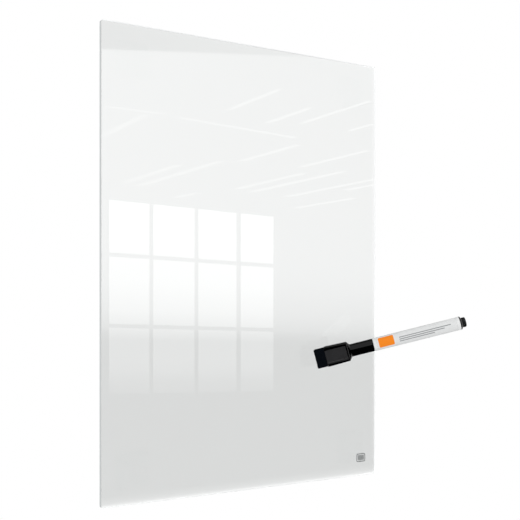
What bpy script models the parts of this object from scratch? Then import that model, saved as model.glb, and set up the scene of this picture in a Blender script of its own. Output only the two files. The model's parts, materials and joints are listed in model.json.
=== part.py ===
"""Frameless clear acrylic whiteboard, A4 upright, with the mini dry-wipe marker that comes with it.

Metres. +Z is up, +X is to the right of someone who faces the board, and the board faces -Y.
The origin is the centre of the board on the wall plane, where the adhesive pads' back faces lie.

The marker has two frames of its own, both on its long axis. The cap's frame starts at the eraser's
free end, and the pen's frame starts at the mouth of the cap. Their +Z runs towards the end plug and
their -Y is the side of the cap that shows the magnet. The pen is pulled out of the cap along +Z.
"""

import math

import bmesh
import bpy
from mathutils import Euler, Vector

# Gaps between pieces
SEAT_GAP = 0.0002
SEAT_CLEARANCE = 0.0001
CUT_OVERRUN = 0.001
MERGE_DISTANCE = 0.000001

# Panel
PANEL_WIDTH = 0.210
PANEL_HEIGHT = 0.297
PANEL_THICKNESS = 0.003
PANEL_CORNER_RADIUS = 0.0015
PANEL_EDGE_BEVEL = 0.0003

# Adhesive pads, one near each corner of the panel's back
PAD_SIZE = 0.022
PAD_THICKNESS = 0.001
PAD_CORNER_RADIUS = 0.003
PAD_EDGE_BEVEL = 0.0002
PAD_INSET = 0.010

# Where the marker meets the board, and how it stands off it
MARKER_X = 0.0490
MARKER_Z = -0.0629
MARKER_TURN = math.radians(36.8)
MARKER_RISE = math.radians(14.5)

# Head of the cap
HEAD_WIDTH = 0.0141
HEAD_THICKNESS = 0.0100
HEAD_WAIST_WIDTH = 0.0132
HEAD_WAIST_THICKNESS = 0.0096
HEAD_LENGTH = 0.0159
HEAD_CORNER_RADIUS = 0.0009
HEAD_WAIST_RADIUS = 0.0012
HEAD_EDGE_EASE = 0.0004
HEAD_WALL = 0.0012

# Tube of the cap
SHOULDER_LENGTH = 0.0017
TUBE_RADIUS = 0.004375
TUBE_WALL = 0.0007
TUBE_MOUTH_CHAMFER = 0.0002
SOCKET_LEAD_IN = 0.00015
SOCKET_SET_OUT = 0.0005
SOCKET_STEP = 0.0004

# Magnet strip in the head's window, which is open towards the eraser
MAGNET_WIDTH = 0.0084
MAGNET_THICKNESS = 0.0016
MAGNET_SINK = 0.00045
MAGNET_CORNER_RADIUS = 0.0003
MAGNET_EDGE_BEVEL = 0.0001
WINDOW_END_RAIL = 0.0012
WINDOW_BEVEL_WIDTH = 0.0009
WINDOW_BEVEL_DEPTH = 0.0004

# Eraser felt
FELT_LENGTH = 0.0072
FELT_SET_IN = 0.0003
FELT_CORNER_RADIUS = 0.0009
FELT_EDGE_ROUND = 0.0006
TONGUE_LENGTH = 0.0050
TONGUE_CORNER_RADIUS = 0.0008

# Inner seal that closes round the nose of the pen
SEAL_WALL = 0.0006
SEAL_FLOOR = 0.0006
SEAL_OVERLAP = 0.0012
SEAL_LIP_LENGTH = 0.0007

# Barrel of the pen, with the neck that the cap takes
BARREL_RADIUS = 0.0045
BARREL_WALL = 0.0010
BARREL_LENGTH = 0.0600
BARREL_EDGE_ROUND = 0.00015
BARREL_FRONT_WALL = 0.0015
NECK_LENGTH = 0.0083
NECK_CLEARANCE = 0.00022
NECK_WALL = 0.00085
NECK_TIP_CHAMFER = 0.0003
NECK_BEAD_HEIGHT = 0.00012
NECK_BEAD_HALF_LENGTH = 0.0006
NECK_BEAD_PLACE_SHARE = 0.45

# Printed wrap, flush in a shallow recess round the barrel
WRAP_THICKNESS = 0.0001
WRAP_GAP = 0.00005
WRAP_FRONT_MARGIN = 0.0020
WRAP_REAR_MARGIN = 0.0023

# Nib and its holder
HOLDER_LENGTH = 0.0044
HOLDER_RIM_LENGTH = 0.0007
HOLDER_STEP = 0.0002
HOLDER_TIP_RADIUS = 0.0018
HOLDER_SPIGOT_LENGTH = 0.0060
NIB_RADIUS = 0.0012
NIB_REACH = 0.0028
NIB_DOME_LENGTH = 0.0016
NIB_TIP_CLEARANCE = 0.0006
NIB_REAR_CHAMFER = 0.0005
NIB_FEED_DEPTH = 0.0035

# Ink reservoir and the film round it
RESERVOIR_PLAY = 0.0002
FILM_THICKNESS = 0.00015
FILM_GAP = 0.00005
FILM_SET_BACK = 0.0004

# End plug
PLUG_FLANGE_THICKNESS = 0.0004
PLUG_TAPER_LENGTH = 0.0010
PLUG_NECK_RADIUS = 0.00305
PLUG_KNOB_RADIUS = 0.00338
PLUG_KNOB_LENGTH = 0.0025
PLUG_KNOB_ROUND = 0.0009
PLUG_KNOB_EASE = 0.00025
PLUG_SKIRT_LENGTH = 0.0045
PLUG_SKIRT_WALL = 0.0008
PLUG_RECESS_DEPTH = 0.0038

# Facets
TURN_STEPS = 48
NIB_TURN_STEPS = 32
CORNER_STEPS = 8
LOFT_CORNER_STEPS = 12
EASE_STEPS = 3
ROUND_STEPS = 6
EDGE_STEPS = 2
HALF_ROUND_PROFILE = 0.5
SHARP_ANGLE = math.radians(32)

# Worked-out sizes of the board
wall_to_panel_back = PAD_THICKNESS + SEAT_GAP
wall_to_panel_front = wall_to_panel_back + PANEL_THICKNESS
pad_centre_x = PANEL_WIDTH / 2 - PAD_INSET - PAD_SIZE / 2
pad_centre_z = PANEL_HEIGHT / 2 - PAD_INSET - PAD_SIZE / 2

# Worked-out radii, from the tube of the cap inwards
socket_radius = TUBE_RADIUS - TUBE_WALL
seal_bore_radius = socket_radius - SOCKET_STEP
seal_radius = seal_bore_radius - SEAT_CLEARANCE
neck_radius = socket_radius - NECK_CLEARANCE
neck_bore_radius = neck_radius - NECK_WALL
holder_base_radius = neck_radius - HOLDER_STEP
nib_bore_radius = NIB_RADIUS + SEAT_CLEARANCE
barrel_bore_radius = BARREL_RADIUS - BARREL_WALL
film_radius = barrel_bore_radius - RESERVOIR_PLAY
film_bore_radius = film_radius - FILM_THICKNESS
reservoir_radius = film_bore_radius - FILM_GAP
plug_skirt_radius = barrel_bore_radius - SEAT_CLEARANCE
wrap_bore_radius = BARREL_RADIUS - WRAP_THICKNESS
wrap_recess_radius = wrap_bore_radius - WRAP_GAP

# Heights in the cap's frame, from the eraser's free end
head_start = FELT_LENGTH + SEAT_GAP
head_end = head_start + HEAD_LENGTH
shoulder_end = head_end + SHOULDER_LENGTH
window_end = head_end - WINDOW_END_RAIL
magnet_end = window_end - SEAT_CLEARANCE
magnet_centre_height = (head_start + magnet_end) / 2
socket_bottom = head_end + SOCKET_SET_OUT
seal_bottom = socket_bottom + SEAT_GAP
nib_tip_height = seal_bottom + SEAL_FLOOR + NIB_TIP_CLEARANCE
holder_tip_height = nib_tip_height + NIB_REACH
seal_top = holder_tip_height + SEAL_OVERLAP
socket_step_height = seal_top + SEAT_GAP
neck_front_height = holder_tip_height + HOLDER_LENGTH + SEAT_GAP
mouth_height = neck_front_height + NECK_LENGTH

# Heights in the pen's frame, from the mouth of the cap
barrel_front = SEAT_GAP
barrel_rear = barrel_front + BARREL_LENGTH
neck_front = -NECK_LENGTH
holder_seat = neck_front - SEAT_GAP
holder_tip = holder_seat - HOLDER_LENGTH
nib_tip = holder_tip - NIB_REACH
chamber_front = barrel_front + BARREL_FRONT_WALL
plug_seat = barrel_rear + SEAT_GAP
skirt_front = plug_seat - PLUG_SKIRT_LENGTH
reservoir_front = chamber_front + SEAT_GAP
reservoir_rear = skirt_front - SEAT_GAP
nib_rear = reservoir_front + NIB_FEED_DEPTH
wrap_front = barrel_front + WRAP_FRONT_MARGIN
wrap_rear = barrel_rear - WRAP_REAR_MARGIN

# Thickness of the head, divided from its face to its back
magnet_face_y = -HEAD_THICKNESS / 2 + MAGNET_SINK
magnet_back_y = magnet_face_y + MAGNET_THICKNESS
magnet_centre_y = (magnet_face_y + magnet_back_y) / 2
window_floor_y = magnet_back_y + SEAT_GAP
pocket_front_y = window_floor_y + HEAD_WALL
pocket_back_y = HEAD_THICKNESS / 2 - HEAD_WALL
pocket_centre_y = (pocket_front_y + pocket_back_y) / 2
pocket_thickness = pocket_back_y - pocket_front_y
pocket_width = HEAD_WIDTH - 2 * HEAD_WALL
tongue_thickness = pocket_thickness - 2 * SEAT_GAP
tongue_width = pocket_width - 2 * SEAT_GAP
felt_width = HEAD_WIDTH - 2 * FELT_SET_IN
felt_thickness = HEAD_THICKNESS - 2 * FELT_SET_IN


def cone_radius(height):
    """Radius of the nib holder's nose at a height in the cap's frame."""
    nose_length = HOLDER_LENGTH - HOLDER_RIM_LENGTH
    share = (height - holder_tip_height) / nose_length
    return HOLDER_TIP_RADIUS + (holder_base_radius - HOLDER_TIP_RADIUS) * share


def quarter_arc(centre_radius, centre_height, across, along, first_turn, steps):
    """Profile points on a quarter of an ellipse, counted clockwise from straight up in quarter turns."""
    points = []
    for step in range(steps + 1):
        angle = (first_turn + step / steps) * math.pi / 2
        points.append((centre_radius + across * math.sin(angle), centre_height + along * math.cos(angle)))
    return points


def clear_scene():
    for obj in list(bpy.data.objects):
        bpy.data.objects.remove(obj, do_unlink=True)


def new_collection(name):
    collection = bpy.data.collections.new(name)
    bpy.context.scene.collection.children.link(collection)
    return collection


def new_material(name, colour, roughness, transmission=0.0):
    """A Principled material. None of these pieces is metal."""
    material = bpy.data.materials.new(name)
    material.use_nodes = True
    shader = material.node_tree.nodes["Principled BSDF"]
    shader.inputs["Base Color"].default_value = (*colour, 1.0)
    shader.inputs["Roughness"].default_value = roughness
    shader.inputs["Metallic"].default_value = 0.0
    shader.inputs["Transmission Weight"].default_value = transmission
    material.diffuse_color = (*colour, 1.0)
    return material


def new_piece(name, mesh, collection, material):
    """An object for a finished mesh, with its round faces shaded smooth."""
    mesh.name = name
    mesh.shade_smooth()
    mesh.set_sharp_from_angle(angle=SHARP_ANGLE)
    mesh.materials.clear()
    mesh.materials.append(material)
    obj = bpy.data.objects.new(name, mesh)
    collection.objects.link(obj)
    return obj


def new_empty(name, collection, location, parent=None):
    empty = bpy.data.objects.new(name, None)
    empty.location = location
    empty.parent = parent
    collection.objects.link(empty)
    return empty


def place(obj, parent, height, offset_y=0):
    """Puts a piece at a height along its parent's axis, and off the axis by a distance along Y."""
    obj.parent = parent
    obj.location = (0, offset_y, height)


def mesh_from(bm):
    bmesh.ops.recalc_face_normals(bm, faces=bm.faces)
    mesh = bpy.data.meshes.new("made")
    bm.to_mesh(mesh)
    bm.free()
    return mesh


def plate_mesh(width, height, thickness, corner_radius, edge_bevel):
    """An upright plate centred on its origin, its faces square to Y, with round corners and eased rims."""
    bm = bmesh.new()
    bmesh.ops.create_cube(bm, size=1)
    bmesh.ops.scale(bm, vec=(width, thickness, height), verts=bm.verts)
    across = [edge for edge in bm.edges if edge.verts[0].co.y * edge.verts[1].co.y < 0]
    bmesh.ops.bevel(
        bm,
        geom=across,
        offset=corner_radius,
        segments=CORNER_STEPS,
        profile=HALF_ROUND_PROFILE,
        affect="EDGES",
    )
    rims = [edge for edge in bm.edges if edge.verts[0].co.y * edge.verts[1].co.y > 0]
    bmesh.ops.bevel(
        bm,
        geom=rims,
        offset=edge_bevel,
        segments=EDGE_STEPS,
        profile=HALF_ROUND_PROFILE,
        affect="EDGES",
    )
    return mesh_from(bm)


def turned_mesh(profile, steps, hollow=False):
    """A profile of (radius, height) points turned about Z. It runs down the outer side from the top.

    A hollow piece's profile comes back up its bore, and its last point joins the first.
    """
    bm = bmesh.new()
    points = [bm.verts.new((radius, 0, height)) for radius, height in profile]
    pairs = list(zip(points, points[1:]))
    if hollow:
        pairs.append((points[-1], points[0]))
    for first, second in pairs:
        bm.edges.new((first, second))
    mesh = bpy.data.meshes.new("profile")
    bm.to_mesh(mesh)
    bm.free()
    turner = bpy.data.objects.new("turner", mesh)
    bpy.context.scene.collection.objects.link(turner)
    screw = turner.modifiers.new("turn", "SCREW")
    screw.axis = "Z"
    screw.steps = steps
    screw.render_steps = steps
    screw.use_merge_vertices = True
    screw.merge_threshold = MERGE_DISTANCE
    return settled_mesh(turner)


def settled_mesh(obj):
    """The mesh that an object's modifiers make, after which the object is gone."""
    bpy.context.view_layer.update()
    graph = bpy.context.evaluated_depsgraph_get()
    mesh = bpy.data.meshes.new_from_object(obj.evaluated_get(graph))
    bpy.data.objects.remove(obj, do_unlink=True)
    return mesh


def rounded_section(height, width, thickness, radius, centre_y=0):
    """A ring of points round a rectangle with round corners. A radius of half the width makes a circle."""
    reach_x = width / 2 - radius
    reach_y = thickness / 2 - radius
    ring = []
    for corner, (side_x, side_y) in enumerate(((1, 1), (-1, 1), (-1, -1), (1, -1))):
        for step in range(LOFT_CORNER_STEPS + 1):
            angle = (corner + step / LOFT_CORNER_STEPS) * math.pi / 2
            x = side_x * reach_x + radius * math.cos(angle)
            y = centre_y + side_y * reach_y + radius * math.sin(angle)
            ring.append(Vector((x, y, height)))
    return ring


def eased_sections(face_height, inward, width, thickness, radius, ease):
    """Sections that round the rim of a loft's end, from its face in to its full size."""
    rings = []
    for step in range(EASE_STEPS + 1):
        angle = step / EASE_STEPS * math.pi / 2
        inset = ease * (1 - math.sin(angle))
        height = face_height + inward * ease * (1 - math.cos(angle))
        rings.append(rounded_section(height, width - 2 * inset, thickness - 2 * inset, radius - inset))
    return rings


def loft_mesh(rings):
    """A closed solid through rings that hold the same number of points."""
    bm = bmesh.new()
    rows = [[bm.verts.new(point) for point in ring] for ring in rings]
    for lower, upper in zip(rows, rows[1:]):
        for index in range(len(lower)):
            after = (index + 1) % len(lower)
            bm.faces.new((lower[index], lower[after], upper[after], upper[index]))
    bm.faces.new(rows[0][::-1])
    bm.faces.new(rows[-1])
    bmesh.ops.remove_doubles(bm, verts=bm.verts, dist=MERGE_DISTANCE)
    return mesh_from(bm)


def new_cutter(name, mesh, collection):
    cutter = bpy.data.objects.new(name, mesh)
    cutter.hide_render = True
    cutter.display_type = "WIRE"
    collection.objects.link(cutter)
    return cutter


def cut_mesh(mesh, cutters):
    """The mesh less every cutter, as an exact Boolean makes it."""
    blank = bpy.data.objects.new("blank", mesh)
    bpy.context.scene.collection.objects.link(blank)
    for cutter in cutters:
        cut = blank.modifiers.new(cutter.name, "BOOLEAN")
        cut.operation = "DIFFERENCE"
        cut.solver = "EXACT"
        cut.object = cutter
    return settled_mesh(blank)


def make_panel(parts):
    """Cast acrylic sheet with polished, lightly eased edges."""
    material = new_material("clear_acrylic", (0.90, 0.92, 0.92), 0.02, transmission=1.0)
    mesh = plate_mesh(PANEL_WIDTH, PANEL_HEIGHT, PANEL_THICKNESS, PANEL_CORNER_RADIUS, PANEL_EDGE_BEVEL)
    panel = new_piece("acrylic_panel", mesh, parts, material)
    panel.location = (0, -wall_to_panel_back - PANEL_THICKNESS / 2, 0)


def make_pads(parts):
    """Four clear gel pads that hold the panel to the wall. They share one mesh."""
    material = new_material("clear_gel", (0.88, 0.89, 0.89), 0.25, transmission=0.9)
    mesh = plate_mesh(PAD_SIZE, PAD_SIZE, PAD_THICKNESS, PAD_CORNER_RADIUS, PAD_EDGE_BEVEL)
    for row, side_z in (("top", 1), ("bottom", -1)):
        for column, side_x in (("left", -1), ("right", 1)):
            pad = new_piece(f"adhesive_pad_{row}_{column}", mesh, parts, material)
            pad.location = (side_x * pad_centre_x, -PAD_THICKNESS / 2, side_z * pad_centre_z)


def make_eraser_felt(parts):
    """The felt block, with the tongue that is glued into the head's pocket."""
    material = new_material("black_felt", (0.012, 0.013, 0.016), 0.95)
    rings = eased_sections(0, 1, felt_width, felt_thickness, FELT_CORNER_RADIUS, FELT_EDGE_ROUND)
    rings.append(rounded_section(FELT_LENGTH, felt_width, felt_thickness, FELT_CORNER_RADIUS))
    for height in (FELT_LENGTH, FELT_LENGTH + TONGUE_LENGTH):
        rings.append(
            rounded_section(
                height, tongue_width, tongue_thickness, TONGUE_CORNER_RADIUS, pocket_centre_y
            )
        )
    return new_piece("eraser_felt", loft_mesh(rings), parts, material)


def window_section(height, face_y):
    """Outline of the window at a height where the head's face is at this Y, wider towards the face."""
    half_width = MAGNET_WIDTH / 2 + SEAT_CLEARANCE
    bevel_run = WINDOW_BEVEL_WIDTH / WINDOW_BEVEL_DEPTH
    half_mouth = half_width + WINDOW_BEVEL_WIDTH + CUT_OVERRUN * bevel_run
    side = [
        (half_mouth, face_y - CUT_OVERRUN),
        (half_width, face_y + WINDOW_BEVEL_DEPTH),
        (half_width, window_floor_y),
    ]
    ring = side + [(-x, y) for x, y in reversed(side)]
    return [Vector((x, y, height)) for x, y in ring]


def make_cap_housing(parts, cutters):
    """Square-to-round shell: a flat head with a window and a pocket, and a tube with a stepped socket.

    The window's long edges slope down to the magnet.
    """
    material = new_material("black_cap_plastic", (0.010, 0.011, 0.012), 0.22)
    tube = (2 * TUBE_RADIUS, 2 * TUBE_RADIUS, TUBE_RADIUS)
    mouth_radius = TUBE_RADIUS - TUBE_MOUTH_CHAMFER
    rings = eased_sections(
        head_start, 1, HEAD_WIDTH, HEAD_THICKNESS, HEAD_CORNER_RADIUS, HEAD_EDGE_EASE
    )
    rings += eased_sections(
        head_end, -1, HEAD_WAIST_WIDTH, HEAD_WAIST_THICKNESS, HEAD_WAIST_RADIUS, HEAD_EDGE_EASE
    )[::-1]
    rings.append(rounded_section(shoulder_end, *tube))
    rings.append(rounded_section(mouth_height - TUBE_MOUTH_CHAMFER, *tube))
    rings.append(rounded_section(mouth_height, 2 * mouth_radius, 2 * mouth_radius, mouth_radius))

    socket_profile = [
        (0, mouth_height + CUT_OVERRUN),
        (socket_radius + SOCKET_LEAD_IN, mouth_height + CUT_OVERRUN),
        (socket_radius + SOCKET_LEAD_IN, mouth_height),
        (socket_radius, mouth_height - SOCKET_LEAD_IN),
        (socket_radius, socket_step_height),
        (seal_bore_radius, socket_step_height),
        (seal_bore_radius, socket_bottom),
        (0, socket_bottom),
    ]
    window_mesh = loft_mesh(
        [
            window_section(head_start - CUT_OVERRUN, -HEAD_THICKNESS / 2),
            window_section(window_end, -HEAD_WAIST_THICKNESS / 2),
        ]
    )
    pocket_shape = (pocket_width, pocket_thickness, TONGUE_CORNER_RADIUS + SEAT_GAP, pocket_centre_y)
    pocket_mesh = loft_mesh(
        [
            rounded_section(head_start - CUT_OVERRUN, *pocket_shape),
            rounded_section(FELT_LENGTH + TONGUE_LENGTH + SEAT_GAP, *pocket_shape),
        ]
    )
    tools = [
        new_cutter("socket_cutter", turned_mesh(socket_profile, TURN_STEPS), cutters),
        new_cutter("window_cutter", window_mesh, cutters),
        new_cutter("pocket_cutter", pocket_mesh, cutters),
    ]
    mesh = cut_mesh(loft_mesh(rings), tools)
    return new_piece("cap_housing", mesh, parts, material)


def make_cap_magnet(parts):
    """Flexible magnet strip that lies in the window, just below the rails."""
    material = new_material("magnet_rubber", (0.024, 0.023, 0.023), 0.60)
    length = magnet_end - head_start
    mesh = plate_mesh(
        MAGNET_WIDTH, length, MAGNET_THICKNESS, MAGNET_CORNER_RADIUS, MAGNET_EDGE_BEVEL
    )
    return new_piece("cap_magnet", mesh, parts, material)


def make_inner_seal(parts):
    """Soft cup at the bottom of the socket. Its lip closes round the nib holder."""
    material = new_material("seal_plastic", (0.60, 0.61, 0.62), 0.45)
    bore_radius = seal_radius - SEAL_WALL
    lip_bottom = seal_top - SEAL_LIP_LENGTH
    height = seal_top - seal_bottom
    profile = [
        (0, SEAL_FLOOR),
        (bore_radius, SEAL_FLOOR),
        (bore_radius, height - 2 * SEAL_LIP_LENGTH),
        (cone_radius(lip_bottom) + SEAT_CLEARANCE, height - SEAL_LIP_LENGTH),
        (cone_radius(seal_top) + SEAT_CLEARANCE, height),
        (seal_radius, height),
        (seal_radius, 0),
        (0, 0),
    ]
    return new_piece("cap_inner_seal", turned_mesh(profile, TURN_STEPS), parts, material)


def make_barrel(parts):
    """Hollow barrel with a recess for the wrap, and the slimmer neck that goes into the cap."""
    material = new_material("white_barrel_plastic", (0.80, 0.81, 0.81), 0.30)
    bead_height = neck_front * NECK_BEAD_PLACE_SHARE
    profile = [
        (barrel_bore_radius, barrel_rear),
        (BARREL_RADIUS - BARREL_EDGE_ROUND, barrel_rear),
        (BARREL_RADIUS, barrel_rear - BARREL_EDGE_ROUND),
        (BARREL_RADIUS, wrap_rear),
        (wrap_recess_radius, wrap_rear),
        (wrap_recess_radius, wrap_front),
        (BARREL_RADIUS, wrap_front),
        (BARREL_RADIUS, barrel_front + BARREL_EDGE_ROUND),
        (BARREL_RADIUS - BARREL_EDGE_ROUND, barrel_front),
        (neck_radius, barrel_front),
        (neck_radius, bead_height + NECK_BEAD_HALF_LENGTH),
        (neck_radius + NECK_BEAD_HEIGHT, bead_height),
        (neck_radius, bead_height - NECK_BEAD_HALF_LENGTH),
        (neck_radius, neck_front + NECK_TIP_CHAMFER),
        (neck_radius - NECK_TIP_CHAMFER, neck_front),
        (neck_bore_radius, neck_front),
        (neck_bore_radius, chamber_front),
        (barrel_bore_radius, chamber_front),
    ]
    return new_piece("pen_barrel", turned_mesh(profile, TURN_STEPS, hollow=True), parts, material)


def make_wrap(parts):
    """Printed film wrapped round the barrel. It is left blank here."""
    material = new_material("printed_wrap", (0.72, 0.74, 0.74), 0.35)
    length = wrap_rear - wrap_front - 2 * SEAT_CLEARANCE
    profile = [
        (BARREL_RADIUS, length),
        (BARREL_RADIUS, 0),
        (wrap_bore_radius, 0),
        (wrap_bore_radius, length),
    ]
    return new_piece("barrel_wrap", turned_mesh(profile, TURN_STEPS, hollow=True), parts, material)


def make_nib_holder(parts):
    """Cone that carries the nib. Its spigot is pressed into the neck."""
    material = new_material("white_holder_plastic", (0.78, 0.79, 0.79), 0.35)
    spigot_radius = neck_bore_radius - SEAT_CLEARANCE
    profile = [
        (nib_bore_radius, HOLDER_SPIGOT_LENGTH),
        (spigot_radius, HOLDER_SPIGOT_LENGTH),
        (spigot_radius, 0),
        (holder_base_radius, 0),
        (holder_base_radius, -HOLDER_RIM_LENGTH),
        (HOLDER_TIP_RADIUS, -HOLDER_LENGTH),
        (nib_bore_radius, -HOLDER_LENGTH),
    ]
    return new_piece("nib_holder", turned_mesh(profile, TURN_STEPS, hollow=True), parts, material)


def make_nib(parts):
    """Bullet nib, long enough to reach into the reservoir and draw ink from it."""
    material = new_material("ink_soaked_nib", (0.015, 0.015, 0.017), 0.70)
    length = nib_rear - nib_tip
    profile = [
        (0, length),
        (NIB_RADIUS - NIB_REAR_CHAMFER, length),
        (NIB_RADIUS, length - NIB_REAR_CHAMFER),
    ]
    profile += quarter_arc(0, NIB_DOME_LENGTH, NIB_RADIUS, NIB_DOME_LENGTH, 1, ROUND_STEPS)
    return new_piece("writing_nib", turned_mesh(profile, NIB_TURN_STEPS), parts, material)


def make_reservoir(parts):
    """Fibre rod that holds the ink, hollow at its front where the nib goes in."""
    material = new_material("ink_fibre", (0.03, 0.03, 0.035), 0.90)
    length = reservoir_rear - reservoir_front
    feed_radius = NIB_RADIUS + SEAT_GAP
    feed_depth = NIB_FEED_DEPTH + SEAT_GAP
    profile = [
        (0, length),
        (reservoir_radius, length),
        (reservoir_radius, 0),
        (feed_radius, 0),
        (feed_radius, feed_depth),
        (0, feed_depth),
    ]
    return new_piece("ink_reservoir", turned_mesh(profile, NIB_TURN_STEPS), parts, material)


def make_reservoir_film(parts):
    """Thin sleeve that keeps the fibres together."""
    material = new_material("clear_film", (0.85, 0.86, 0.87), 0.20, transmission=0.8)
    length = reservoir_rear - reservoir_front - 2 * FILM_SET_BACK
    profile = [
        (film_radius, length),
        (film_radius, 0),
        (film_bore_radius, 0),
        (film_bore_radius, length),
    ]
    return new_piece("reservoir_film", turned_mesh(profile, NIB_TURN_STEPS, hollow=True), parts, material)


def make_end_plug(parts):
    """Plug with a flange, a tapered neck and a round-edged knob. Its hollow skirt closes the barrel."""
    material = new_material("black_plug_plastic", (0.012, 0.013, 0.014), 0.30)
    neck_height = PLUG_FLANGE_THICKNESS + PLUG_TAPER_LENGTH
    knob_bottom = neck_height + PLUG_KNOB_EASE
    knob_top = neck_height + PLUG_KNOB_LENGTH
    profile = [(0, knob_top)]
    profile += quarter_arc(
        PLUG_KNOB_RADIUS - PLUG_KNOB_ROUND,
        knob_top - PLUG_KNOB_ROUND,
        PLUG_KNOB_ROUND,
        PLUG_KNOB_ROUND,
        0,
        ROUND_STEPS,
    )
    profile.append((PLUG_KNOB_RADIUS, knob_bottom))
    profile += [
        (PLUG_NECK_RADIUS, neck_height),
        (BARREL_RADIUS, PLUG_FLANGE_THICKNESS),
        (BARREL_RADIUS, 0),
        (plug_skirt_radius, 0),
        (plug_skirt_radius, -PLUG_SKIRT_LENGTH),
        (plug_skirt_radius - PLUG_SKIRT_WALL, -PLUG_SKIRT_LENGTH),
        (plug_skirt_radius - PLUG_SKIRT_WALL, PLUG_RECESS_DEPTH - PLUG_SKIRT_LENGTH),
        (0, PLUG_RECESS_DEPTH - PLUG_SKIRT_LENGTH),
    ]
    return new_piece("pen_end_plug", turned_mesh(profile, TURN_STEPS), parts, material)


def make_marker(parts, cutters):
    """Cap and pen on the marker's axis, with the felt's nearest corner just off the board's face."""
    turn = Euler((0, math.pi / 2 - MARKER_RISE, -MARKER_TURN), "XYZ")
    felt = make_eraser_felt(parts)
    towards_wall = turn.to_matrix()[1]
    felt_reach = max(towards_wall @ vertex.co for vertex in felt.data.vertices)
    start = (MARKER_X, -wall_to_panel_front - SEAT_GAP - felt_reach, MARKER_Z)
    cap_axis = new_empty("marker_cap_axis", parts, start)
    cap_axis.rotation_euler = turn
    pen_axis = new_empty("marker_pen_axis", parts, (0, 0, mouth_height), cap_axis)

    place(felt, cap_axis, 0)
    place(make_cap_housing(parts, cutters), cap_axis, 0)
    place(make_cap_magnet(parts), cap_axis, magnet_centre_height, magnet_centre_y)
    place(make_inner_seal(parts), cap_axis, seal_bottom)

    place(make_barrel(parts), pen_axis, 0)
    place(make_wrap(parts), pen_axis, wrap_front + SEAT_CLEARANCE)
    place(make_nib_holder(parts), pen_axis, holder_seat)
    place(make_nib(parts), pen_axis, nib_tip)
    place(make_reservoir(parts), pen_axis, reservoir_front)
    place(make_reservoir_film(parts), pen_axis, reservoir_front + FILM_SET_BACK)
    place(make_end_plug(parts), pen_axis, plug_seat)


def main():
    clear_scene()
    parts = new_collection("acrylic_whiteboard")
    cutters = new_collection("cutters")
    make_panel(parts)
    make_pads(parts)
    make_marker(parts, cutters)
    bpy.context.view_layer.update()


main()
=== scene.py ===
"""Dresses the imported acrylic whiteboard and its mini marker, and sets the studio round them.

Metres, in the part's own frame. The board faces -Y, and the origin is its centre on the wall plane.
The marker's own frames are as in the CAD: the cap's starts at the eraser's free end and the pen's
at the mouth of the cap, +Z runs towards the end plug, and -Y is the side that shows the magnet.
"""

import json
import math

import bmesh
import bpy
from bpy.props import FloatProperty, FloatVectorProperty, PointerProperty
from bpy.types import Operator, Panel, PropertyGroup
from mathutils import Matrix, Vector, noise


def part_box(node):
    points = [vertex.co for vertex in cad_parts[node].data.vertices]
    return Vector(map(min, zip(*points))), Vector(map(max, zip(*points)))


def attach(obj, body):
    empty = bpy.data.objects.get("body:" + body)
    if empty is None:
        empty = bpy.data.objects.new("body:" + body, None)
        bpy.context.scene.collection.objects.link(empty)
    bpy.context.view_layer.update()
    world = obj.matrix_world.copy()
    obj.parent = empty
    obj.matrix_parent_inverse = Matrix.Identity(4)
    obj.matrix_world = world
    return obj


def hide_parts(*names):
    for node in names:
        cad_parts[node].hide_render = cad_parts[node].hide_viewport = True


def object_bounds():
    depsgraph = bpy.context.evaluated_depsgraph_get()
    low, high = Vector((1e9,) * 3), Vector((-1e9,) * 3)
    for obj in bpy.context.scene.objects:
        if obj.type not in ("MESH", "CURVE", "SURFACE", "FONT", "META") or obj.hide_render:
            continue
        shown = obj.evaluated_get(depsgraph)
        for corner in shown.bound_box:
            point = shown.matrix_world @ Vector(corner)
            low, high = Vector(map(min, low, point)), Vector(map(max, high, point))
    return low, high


bl_info = {
    "name": "Acrylic whiteboard looks",
    "version": (1, 0, 0),
    "blender": (4, 5, 0),
    "location": "3D View > Sidebar > Whiteboard",
    "description": "Finishes a clear acrylic whiteboard and its mini marker, with a plain studio",
    "category": "Object",
}

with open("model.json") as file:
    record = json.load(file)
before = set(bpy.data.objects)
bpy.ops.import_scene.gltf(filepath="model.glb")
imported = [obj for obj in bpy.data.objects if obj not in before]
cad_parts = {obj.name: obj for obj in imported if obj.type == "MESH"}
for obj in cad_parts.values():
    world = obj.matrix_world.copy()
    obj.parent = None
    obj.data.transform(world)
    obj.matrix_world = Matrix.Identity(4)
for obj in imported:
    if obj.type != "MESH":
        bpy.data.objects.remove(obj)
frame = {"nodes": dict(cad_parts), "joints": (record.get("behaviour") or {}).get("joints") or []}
cad_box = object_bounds()

# What several pieces share
CORNER_STEPS = 8
SHARP_ANGLE = math.radians(32)
BLACK = (0, 0, 0, 1)

# The sheet's corners, and the round of its eased edges
SHEET_CORNER = 0.0015
SHEET_EASE = 0.00014
SHEET_EASE_STEPS = 3

# Painted glow that the sheet's edges emit where they are seen through the sheet from inside. Each
# glow is (from, to, first level, last level): up the upright edges by Z, and along the lying ones
# by X. Lying edges start between the two heights.
UPRIGHT_PAINTED_GLOW = (-0.060, -0.005, 1.0, 0.75)
LYING_PAINTED_GLOW = (-0.105, 0.105, 0.77, 0.52)
LYING_HEIGHTS = (0.1478, 0.1482)

# The marker, where the CAD has it
PEN_AXIS = Vector(next(joint["axis"] for joint in frame["joints"] if joint["name"] == "pen_pull"))
MARKER_START = Vector((0.0490, -0.0088129, -0.0629))
MOUTH_HEIGHT = 0.0409
BARREL_RADIUS = 0.0045

# Eraser felt, by the CAD's sizes
FELT_SIZE = (0.0135, 0.0094)
FELT_LENGTH = 0.0072
FELT_CORNER = 0.0009
TONGUE_SIZE = (0.0113, 0.00495)
TONGUE_LENGTH = 0.0050
TONGUE_CORNER = 0.0008
TONGUE_OFFSET = 0.001125
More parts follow.
